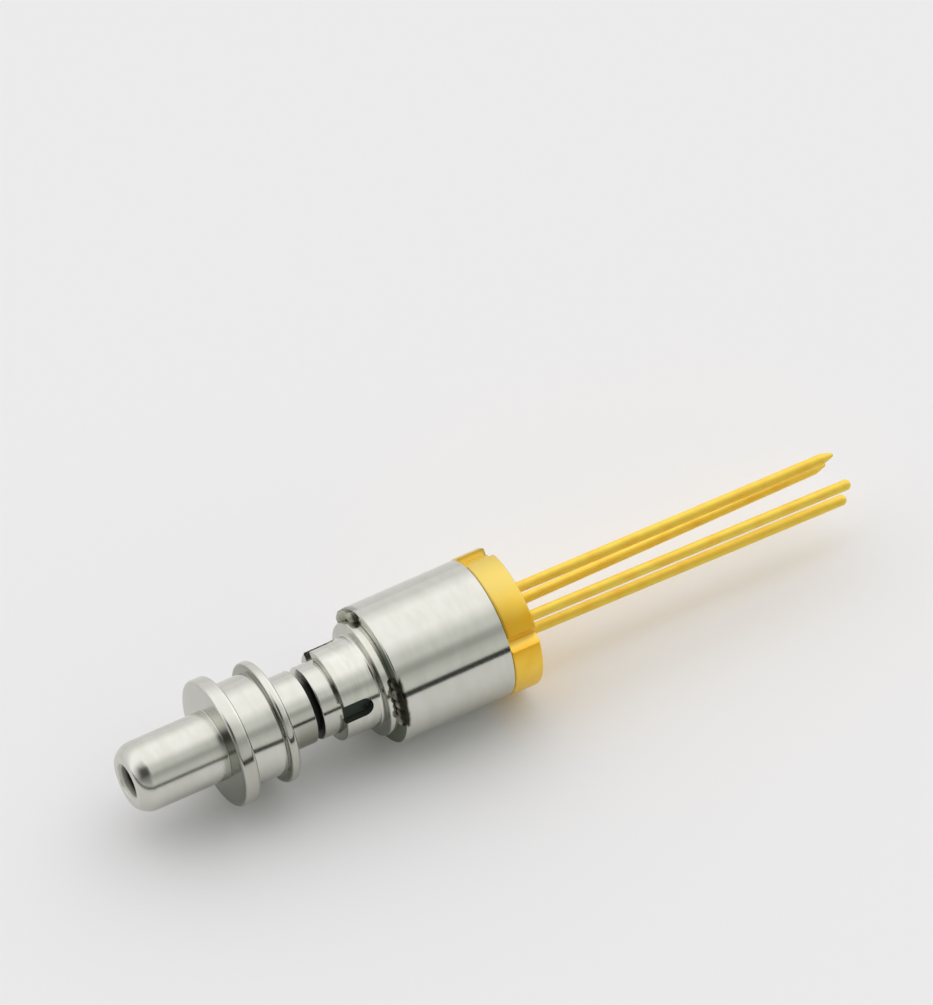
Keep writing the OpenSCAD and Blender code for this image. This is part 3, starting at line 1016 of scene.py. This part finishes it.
@dataclass
class LightPort:
    """The turned shell: nose, two flanges with a groove between them, neck and stepped bore (millimetres)."""

    nose_r: float = 1.40
    bevel_l: float = 0.24
    bevel_r: float = 0.36
    flange_t: float = 0.66
    groove_r: float = 2.075
    groove_w: float = 1.40
    rear_flange_r: float = 2.45
    rear_flange_t: float = 0.40
    neck_r: float = 1.475
    mouth_r: float = 0.655
    mouth_l: float = 0.60
    mouth_bevel: float = 0.12
    pocket_r: float = 0.85
    spigot_r: float = 1.10
    spigot_l: float = 2.00
    nose_round: float = 0.75
    rim_round: float = 0.14
    corner_round: float = 0.05
    edge_round: float = 0.04

    def outline(self) -> list[Corner]:
        """Section of the shell.

        Returns:
            Its corners, from the mouth over the outside and back through the bore.
        """
        tip, end, flange_r = reach("receptacle_shell")
        rear_flange = self.flange_t + self.groove_w
        neck = rear_flange + self.rear_flange_t
        fine = self.edge_round / 2
        shoulder = self.nose_round * math.tan(math.atan2(self.bevel_r, self.bevel_l) / 2)
        return [
            Corner(tip, self.mouth_r + self.mouth_bevel, fine),
            Corner(tip, self.nose_r - self.bevel_r, fine),
            Corner(tip + self.bevel_l, self.nose_r, shoulder, 2 * ROUND_STEPS),
            Corner(0.0, self.nose_r, self.corner_round),
            Corner(0.0, flange_r, self.rim_round),
            Corner(self.flange_t, flange_r, self.rim_round),
            Corner(self.flange_t, self.groove_r, self.corner_round),
            Corner(rear_flange, self.groove_r, self.corner_round),
            Corner(rear_flange, self.rear_flange_r, self.rim_round),
            Corner(neck, self.rear_flange_r, self.rim_round),
            Corner(neck, self.neck_r, self.corner_round),
            Corner(end, self.neck_r, self.edge_round),
            Corner(end, self.spigot_r),
            Corner(end - self.spigot_l, self.spigot_r),
            Corner(end - self.spigot_l, self.pocket_r),
            Corner(tip + self.mouth_l, self.pocket_r),
            Corner(tip + self.mouth_l, self.mouth_r, fine),
            Corner(tip + self.mouth_bevel, self.mouth_r, fine),
        ]

    def build(self, bench: Bench) -> None:
        """Models and dresses the shell.

        Args:
            bench: The modelling bench.
        """
        shell = bench.turn("light_port_shell", self.outline())
        bench.smooth(shell)
        show(shell, "receptacle_shell", SHELL_STEEL)


@dataclass
class StubHolder:
    """Spigot and collar that hold the fibre stub (millimetres)."""

    bore_r: float = 0.625
    spigot_r: float = 1.10
    collar_front: float = 4.01
    collar_bevel: float = 0.05

    def build(self, bench: Bench) -> None:
        """Models and dresses the holder.

        Args:
            bench: The modelling bench.
        """
        start, end, collar_r = reach("stub_holder")
        holder = bench.turn(
            "fibre_stub_holder",
            [
                Corner(start, self.bore_r),
                Corner(start, self.spigot_r),
                Corner(self.collar_front, self.spigot_r),
                Corner(self.collar_front, collar_r, self.collar_bevel),
                Corner(end, collar_r, self.collar_bevel),
                Corner(end, self.bore_r),
            ],
        )
        bench.smooth(holder)
        show(holder, "stub_holder", HOLDER_STEEL)


@dataclass
class WeldSleeve:
    """Slotted skirt with a hollow fillet and a thin flange (millimetres)."""

    plan: WeldPlan = field(default_factory=WeldPlan)
    bore_r: float = 1.485
    skirt_r: float = 1.825
    flange_t: float = 0.44
    fillet: float = 0.12
    edge_round: float = 0.04
    slot_w: float = 0.75
    slot_l: float = 1.20
    slot_deep: float = 1.0
    slot_round_steps: int = 16

    def build(self, bench: Bench) -> bpy.types.Object:
        """Models and dresses the sleeve.

        Args:
            bench: The modelling bench.

        Returns:
            The sleeve.
        """
        front, back, flange_r = reach("weld_sleeve")
        flange = back - self.flange_t
        sleeve = bench.turn(
            "weld_sleeve_turned",
            [
                Corner(front, self.bore_r),
                Corner(front, self.skirt_r, self.edge_round),
                Corner(flange, self.skirt_r, self.fillet),
                Corner(flange, flange_r, self.edge_round),
                Corner(back, flange_r, self.edge_round),
                Corner(back, self.bore_r),
            ],
        )
        for clock in self.plan.clocks():
            bench.cut(sleeve, bench.clock(self.slot_tool(bench, front), clock))
        bench.smooth(sleeve)
        return show(sleeve, "weld_sleeve", SLEEVE_STEEL)

    def slot_tool(self, bench: Bench, front: float) -> bpy.types.Object:
        """Block with a half round end that cuts one slot.

        Args:
            bench: The modelling bench.
            front: Place of the skirt's front edge.

        Returns:
            The block, at clock angle 0.
        """
        half = self.slot_w / 2
        end = front + self.slot_l
        low = Vector((front - self.slot_deep, self.bore_r - self.slot_deep / 2, -half))
        high = Vector((end, self.skirt_r + self.slot_deep, half))
        tool = bench.block("slot_tool", low, high)
        bench.edit(tool)
        limit = (end - half) * MM
        bench.pick_edges(tool, lambda a, b: min(a.x, b.x) > limit and abs(a.y - b.y) > TOUCH)
        bpy.ops.mesh.bevel(offset=half * MM * FULL_ROUND, segments=self.slot_round_steps, affect="EDGES")
        bench.done()
        return tool


@dataclass
class Barrel:
    """The laser holder: a plain barrel with a stepped bore (millimetres)."""

    front_bevel: float = 0.05
    rear_bevel: float = 0.04
    front_wall: float = 1.10
    aperture_r: float = 1.00
    bore_r: float = 1.90
    pocket_r: float = 2.42
    pocket_l: float = 0.32
    edge_round: float = 0.03

    def build(self, bench: Bench, melt: bpy.types.Object) -> None:
        """Models and dresses the barrel.

        Args:
            bench: The modelling bench.
            melt: The room that the welds take up in its front edge.
        """
        front, back, barrel_r = reach("laser_holder")
        barrel = bench.turn(
            "laser_barrel",
            [
                Corner(front, self.aperture_r),
                Corner(front, barrel_r - self.front_bevel, self.edge_round),
                Corner(front + self.front_bevel, barrel_r, self.edge_round),
                Corner(back - self.rear_bevel, barrel_r),
                Corner(back, barrel_r - self.rear_bevel),
                Corner(back, self.pocket_r),
                Corner(back - self.pocket_l, self.pocket_r),
                Corner(back - self.pocket_l, self.bore_r),
                Corner(front + self.front_wall, self.bore_r),
                Corner(front + self.front_wall, self.aperture_r),
            ],
        )
        bench.cut(barrel, melt)
        bench.smooth(barrel)
        show(barrel, "laser_holder", BARREL_STEEL)


@dataclass
class WeldBeads:
    """Overlapping burnt laser spots across the corner of the thin flange and the barrel (millimetres).

    Each spot is pressed in by dish above the share dish_start of its radius, and strays from its place by up
    to sway. Lumps of the size lump, lump_height high, cover it, with the share lump_level of the height sunk.
    """

    plan: WeldPlan = field(default_factory=WeldPlan)
    place: float = 6.84
    spot_r: float = 0.285
    ring_r: float = 2.5375
    crown_r: float = 2.79
    spot_count: int = 5
    spot_pitch: float = 9.0
    dish: float = 0.08
    dish_start: float = 0.86
    sway: float = 0.04
    voxel: float = 0.022
    lump: float = 0.14
    lump_height: float = 0.05
    lump_level: float = 0.55

    def build(self, bench: Bench, sleeve: bpy.types.Object) -> bpy.types.Object:
        """Models and dresses the welds.

        Args:
            bench: The modelling bench.
            sleeve: The weld sleeve, whose flange they hold.

        Returns:
            The room that the melt takes up in the pieces that it joins.
        """
        spots = [self.spot(bench, clock, i) for clock in self.plan.clocks() for i in range(self.spot_count)]
        bench.clear()
        for spot in spots:
            spot.select_set(True)
        bpy.context.view_layer.objects.active = spots[0]
        bpy.ops.object.join()
        beads = bench.named("weld_beads")
        bench.apply(beads, "REMESH", mode="VOXEL", voxel_size=self.voxel * MM)
        clouds = bpy.data.textures.new("weld_lumps", "CLOUDS")
        clouds.noise_scale = self.lump * MM
        height = self.lump_height * MM
        bench.apply(beads, "DISPLACE", texture=clouds, strength=height, mid_level=self.lump_level)
        # The lumps fold over here and there, and only a clean mesh cuts well
        bench.apply(beads, "REMESH", mode="VOXEL", voxel_size=self.voxel * MM)
        melt = bench.copy(beads)
        bench.cut(beads, self.crown(bench), "INTERSECT")
        bench.cut(beads, bench.copy(sleeve))
        bench.smooth(beads)
        show(beads, "holder_welds", WELD)
        return melt

    def crown(self, bench: Bench) -> bpy.types.Object:
        """Rod that the melt fills out, a little thicker than the barrel."""
        return bench.rod("crown_rod", self.place - self.crown_r, self.place + self.crown_r, self.crown_r)

    def spot(self, bench: Bench, clock: float, i: int) -> bpy.types.Object:
        """One spot of a weld, dished where the beam struck.

        Args:
            bench: The modelling bench.
            clock: Clock angle of the weld's middle.
            i: Number of the spot.

        Returns:
            The spot.
        """
        bench.clear()
        bpy.ops.mesh.primitive_ico_sphere_add(subdivisions=4, radius=self.spot_r * MM)
        spot = bench.named("weld_spot")
        bench.edit(spot)
        top = self.spot_r * MM * self.dish_start
        bench.pick(spot, lambda at: at.y > top)
        bpy.ops.transform.translate(value=Vector((0.0, -self.dish * MM, 0.0)))
        bpy.ops.mesh.select_all(action="SELECT")
        sway = self.sway * math.sin(2.4 * i + 0.05 * clock)
        bpy.ops.transform.translate(value=Vector((self.place + sway, self.ring_r - abs(sway), 0.0)) * MM)
        bench.done()
        return bench.clock(spot, clock + self.spot_pitch * (i - (self.spot_count - 1) / 2))


class Notch(Enum):
    """Kinds of notch in the header's rim."""

    SQUARE = "square"
    POINTED = "pointed"


class Tip(Enum):
    """How the end of a lead is cut."""

    POINTED = "pointed"
    BLUNT = "blunt"


@dataclass
class LeadPlan:
    """One lead: its node, clock angle, lean and the way it leans, its tip and if it passes through."""

    node: str
    clock: float
    lean: float
    lean_clock: float
    tip: Tip
    through: bool = True


@dataclass
class Header:
    """Gold plated base with notches in its rim, a post, glass beads and four leads (millimetres)."""

    clock: float = 57.0
    edge_round: float = 0.08
    notch_depth: float = 0.32
    square_w: float = 1.00
    pointed_angle: float = 95.0
    lead_circle_r: float = 0.90
    lead_r: float = 0.215
    lead_straight: float = 0.30
    root_round: float = 0.02
    taper_round: float = 0.05
    tip_round: float = 0.04
    point_r: float = 0.07
    point_l: float = 0.48
    blunt_r: float = 0.12
    blunt_l: float = 0.12
    bead_r: float = 0.425
    bead_sink: float = 0.04
    meniscus: float = 0.03
    post_face: float = 0.25
    post_size: tuple[float, float, float] = (1.00, 0.70, 0.90)
    overrun: float = 0.2
    lead_steps: int = 48

    def __post_init__(self) -> None:
        """Takes the header's place from the frame and plans the leads."""
        self.front, self.back, self.rim_r = reach("seal_1")[0] - self.bead_sink, *reach("header")[1:]
        quarter = 90.0
        self.leads = [
            LeadPlan("lead_1", self.clock, 0.65, 215.0, Tip.POINTED),
            LeadPlan("lead_2", self.clock + quarter, 1.00, 215.0, Tip.BLUNT),
            LeadPlan("case_lead", self.clock + 2 * quarter, 0.95, 215.0, Tip.BLUNT, through=False),
            LeadPlan("lead_3", self.clock + 3 * quarter, 0.65, 343.0, Tip.POINTED),
        ]

    def build(self, bench: Bench) -> None:
        """Models and dresses the base, the beads and the leads.

        Args:
            bench: The modelling bench.
        """
        base = bench.rod("gold_header", self.front, self.back, self.rim_r, self.edge_round)
        kinds = (Notch.SQUARE, Notch.POINTED, None, Notch.POINTED)
        for plan, kind in zip(self.leads, kinds):
            if kind:
                bench.cut(base, bench.clock(self.notch_tool(bench, kind), plan.clock))
            if plan.through:
                bench.cut(base, self.at_lead(bench, self.hole_tool(bench), plan.clock))
        bench.cut(base, bench.clock(self.post(bench), self.leads[2].clock), "UNION")
        bench.smooth(base)
        show(base, "header", GOLD)
        for i, plan in enumerate(p for p in self.leads if p.through):
            self.bead(bench, f"seal_{i + 1}", plan)
        for plan in self.leads:
            self.lead(bench, plan)

    def notch_tool(self, bench: Bench, kind: Notch) -> bpy.types.Object:
        """Block that cuts one notch.

        Args:
            bench: The modelling bench.
            kind: Kind of notch.

        Returns:
            The block, at clock angle 0.
        """
        root = self.rim_r - self.notch_depth
        half = self.square_w / 2
        front, back = self.front - self.overrun, self.back + self.overrun
        high = Vector((back, root + self.rim_r, half))
        tool = bench.block("notch_tool", Vector((front, root, -half)), high)
        if kind is Notch.POINTED:
            spread = self.rim_r * math.tan(math.radians(self.pointed_angle / 2))
            middle = (root + self.rim_r / 2) * MM
            bench.edit(tool)
            bench.pick(tool, lambda at: at.y < middle)
            bpy.ops.transform.resize(value=(1.0, 1.0, 0.0), center_override=(0.0, 0.0, 0.0))
            bench.pick(tool, lambda at: at.y > middle)
            bpy.ops.transform.resize(value=(1.0, 1.0, spread / half), center_override=(0.0, 0.0, 0.0))
            bench.weld_shut()
            bench.done()
        return tool

    def hole_tool(self, bench: Bench) -> bpy.types.Object:
        """Rod that bores one hole for a glass bead."""
        front, back = self.front - self.overrun, self.back + self.overrun
        return bench.rod("hole_tool", front, back, self.bead_r, steps=2 * self.lead_steps)

    def post(self, bench: Bench) -> bpy.types.Object:
        """Block that carries the laser.

        Args:
            bench: The modelling bench.

        Returns:
            The block, at clock angle 0.
        """
        high, thick, wide = self.post_size
        low = Vector((self.front - high, self.post_face, -wide / 2))
        return bench.block("post", low, Vector((self.front + self.overrun, self.post_face + thick, wide / 2)))

    def at_lead(self, bench: Bench, piece: bpy.types.Object, clock: float) -> bpy.types.Object:
        """Moves a piece from the axis to the place of a lead."""
        return bench.shift(piece, arm(clock) * self.lead_circle_r * MM)

    def bead(self, bench: Bench, node: str, plan: LeadPlan) -> None:
        """Glass bead that creeps up the lead and the hole at both ends.

        Args:
            bench: The modelling bench.
            node: The CAD node that it stands for.
            plan: The lead that passes through it.
        """
        front, back = self.front + self.bead_sink, self.back - self.bead_sink
        middle = (self.lead_r + self.bead_r) / 2
        bead = bench.turn(
            f"glass_bead_{node[-1]}",
            [
                Corner(front, self.lead_r),
                Corner(front + self.meniscus, middle, self.meniscus),
                Corner(front, self.bead_r),
                Corner(back, self.bead_r),
                Corner(back - self.meniscus, middle, self.meniscus),
                Corner(back, self.lead_r),
            ],
            steps=2 * self.lead_steps,
        )
        self.at_lead(bench, bead, plan.clock)
        bench.smooth(bead)
        show(bead, node, BEAD)

    def lead(self, bench: Bench, plan: LeadPlan) -> None:
        """Gold plated lead that leans off the axis behind the header.

        Args:
            bench: The modelling bench.
            plan: The lead's place, lean and tip.
        """
        start, end, _ = reach(plan.node)
        bend = self.back + self.lead_straight
        pointed = plan.tip is Tip.POINTED
        tip_l, tip_r = (self.point_l, self.point_r) if pointed else (self.blunt_l, self.blunt_r)
        lead = bench.turn(
            f"gold_{plan.node}",
            [
                Corner(start, 0.0),
                Corner(start, self.lead_r, self.root_round),
                Corner(bend, self.lead_r),
                Corner(bend + self.lead_straight, self.lead_r),
                Corner(end - tip_l, self.lead_r, self.taper_round),
                Corner(end, tip_r, self.tip_round),
                Corner(end, 0.0),
            ],
            closed=False,
            steps=self.lead_steps,
        )
        self.at_lead(bench, lead, plan.clock)
        self.lean(bench, lead, plan, bend)
        bench.smooth(lead)
        show(lead, plan.node, LEAD_GOLD)

    def lean(self, bench: Bench, lead: bpy.types.Object, plan: LeadPlan, bend: float) -> None:
        """Tilts the run of a lead behind its bend.

        Args:
            bench: The modelling bench.
            lead: The lead, straight and in its place.
            plan: Its lean.
            bend: Place of the bend along the axis.
        """
        centre = (Vector((bend, 0.0, 0.0)) + arm(plan.clock) * self.lead_circle_r) * MM
        towards = math.radians(plan.lean_clock)
        lean = math.radians(plan.lean)
        bench.edit(lead)
        bench.pick(lead, lambda at: at.x > bend * MM + TOUCH)
        bpy.ops.transform.rotate(value=-lean * math.cos(towards), orient_axis="Z", center_override=centre)
        bpy.ops.transform.rotate(value=lean * math.sin(towards), orient_axis="Y", center_override=centre)
        bench.done()


@dataclass
class InnerPieces:
    """The pieces inside, which keep their CAD solids and get their finishes."""

    finishes: dict[str, Finish] = field(
        default_factory=lambda: {
            "split_sleeve": ZIRCONIA,
            "fibre_stub": ZIRCONIA,
            "fibre": FIBRE,
            "cap": CAP_STEEL,
            "cap_lens": LENS,
            "lens_seal": FRIT,
            "submount": TILE,
            "laser_chip": LASER_DIE,
            "monitor_carrier": TILE,
            "monitor_diode": DIODE_DIE,
            "bond_wires": WIRE_GOLD,
        }
    )

    def dress(self) -> None:
        """Gives each inner piece its finish."""
        for node, finish in self.finishes.items():
            coat(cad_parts[node], finish)
            LOG.info("%s: %s", node, finish.name)


@dataclass
class Studio:
    """Camera, pale floor and soft light of a white tent with a dark gap along its front edge."""

    azimuth: float = -29.0
    elevation: float = 51.7
    lens: float = 600.0
    sensor: float = 36.0
    image: tuple[int, int] = (933, 1005)
    pixels_per_mm: float = 26.43
    origin_pixel: tuple[float, float] = (214.9, 743.3)
    floor_r: float = 3.0
    floor_steps: int = 128
    floor_colour: Colour = (0.895, 0.895, 0.895)
    front_tint: Colour = (0.99, 1.015, 0.975)
    top_tint: Colour = (1.0, 0.985, 1.0)
    brightest: float = 1.45

    def tint(self, place: float) -> Vector:
        """Colour of the tent at a place from its front edge, 0, over its top to its rear edge, 1."""
        share = min(max((place - 0.3) / 0.2, 0.0), 1.0)
        return Vector(self.front_tint).lerp(Vector(self.top_tint), share)

    def back(self) -> Vector:
        """Direction from the object to the camera."""
        a, e = math.radians(self.azimuth), math.radians(self.elevation)
        return Vector((math.sin(a) * math.cos(e), -math.cos(a) * math.cos(e), math.sin(e)))

    def build(self, bench: Bench, box: Box) -> None:
        """Sets up the camera, the floor and the light.

        Args:
            bench: The modelling bench.
            box: The object's box.
        """
        self.camera(box)
        self.floor(bench, box)
        self.light()
        bpy.context.scene.view_settings.view_transform = "Standard"

    def camera(self, box: Box) -> None:
        """Aims a long lens so that the part's origin lands on its pixel.

        Args:
            box: The object's box.
        """
        back = self.back()
        a = math.radians(self.azimuth)
        right = Vector((math.cos(a), math.sin(a), 0.0))
        up = back.cross(right)
        across = (self.image[0] / 2 - self.origin_pixel[0]) / self.pixels_per_mm * MM
        above = (self.origin_pixel[1] - self.image[1] / 2) / self.pixels_per_mm * MM
        depth = ((box[0] + box[1]) / 2).dot(back)
        frame_h = self.image[1] / self.pixels_per_mm * MM
        lens = bpy.data.cameras.new("camera")
        lens.lens = self.lens
        lens.sensor_width = self.sensor
        camera = bpy.data.objects.new("camera", lens)
        camera.location = right * across + up * above + back * (depth + self.lens / self.sensor * frame_h)
        camera.rotation_euler = Matrix((right, up, back)).transposed().to_euler()
        bpy.context.scene.collection.objects.link(camera)
        bpy.context.scene.camera = camera

    def floor(self, bench: Bench, box: Box) -> None:
        """Lays a pale floor under the lowest point.

        Args:
            bench: The modelling bench.
            box: The object's box.
        """
        bench.clear()
        bpy.ops.mesh.primitive_circle_add(vertices=self.floor_steps, radius=self.floor_r, fill_type="NGON")
        floor = bench.named("floor")
        bench.shift(floor, Vector((0.0, 0.0, box[0].z)))
        material = bpy.data.materials.new("pale_floor")
        material.use_nodes = True
        graph = Graph(material.node_tree)
        graph.surface(Base_Color=self.floor_colour, Roughness=0.9, Specular_IOR_Level=0.1)
        floor.data.materials.append(material)
        floor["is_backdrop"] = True

    def light(self) -> None:
        """Lights the tent: bright overhead and behind the leads, dimmer in front of the nose.

        A dark slit runs along its lower edge, and a dark opening lets the camera in and reaches down to it.
        """
        world = bpy.data.worlds.new("white_tent")
        world.use_nodes = True
        bpy.context.scene.world = world
        graph = Graph(world.node_tree)
        towards = graph.node("ShaderNodeTexCoord").outputs["Generated"]
        x, y, z = graph.split(towards)
        rise = z.angle_to(-y) / math.pi
        tone = {0.0: 0.66, 0.106: 0.74, 0.172: 0.62, 0.215: 0.46, 0.25: 0.48, 0.306: 0.80, 0.372: 0.86,
                0.44: 1.12, 0.50: 1.33, 0.75: 1.40, 0.84: 1.15, 0.90: 0.95}
        stops = [(place, self.tint(place) * level / self.brightest) for place, level in tone.items()]
        ramp = graph.node("ShaderNodeValToRGB", {"stops": stops}, {"Fac": rise})
        slit = z.ease(0.006, 0.018) * (1 - z.ease(0.15, 0.19)) * (1 - y.ease(0.10, 0.28))
        side = graph.along(towards, UNDERSIDE)
        lean = (-x).angle_to(graph.along(towards, UNDERSIDE.cross(Vector((1.0, 0.0, 0.0)))))
        opening = (1 - abs(side + 0.13).ease(0.15, 0.40)) * lean.ease(-0.2, 0.05) * (1 - lean.ease(0.7, 1.1))
        nose_side = (1 - x.ease(-0.22, -0.02)) * z.ease(0.15, 0.4) * (1 - y.ease(0.0, 0.3))
        lamp = x.ease(0.35, 0.65)
        strength = self.brightest * (1 - opening * 0.85) * (1 - slit * 0.96)
        strength = strength * (1 - nose_side * 0.4 + lamp * 0.15)
        sockets = {"Color": ramp.outputs["Color"], "Strength": strength}
        shade = graph.node("ShaderNodeBackground", None, sockets)
        graph.node("ShaderNodeOutputWorld", None, {"Surface": shade.outputs[0]})


def main() -> None:
    """Builds the pieces in order."""
    logging.basicConfig(level=logging.INFO, format="%(message)s")
    cad_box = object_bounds()
    bench = Bench()
    Studio().build(bench, cad_box)
    LightPort().build(bench)
    StubHolder().build(bench)
    sleeve = WeldSleeve().build(bench)
    melt = WeldBeads().build(bench, sleeve)
    Barrel().build(bench, melt)
    Header().build(bench)
    InnerPieces().dress()


if __name__ == "__main__":
    main()
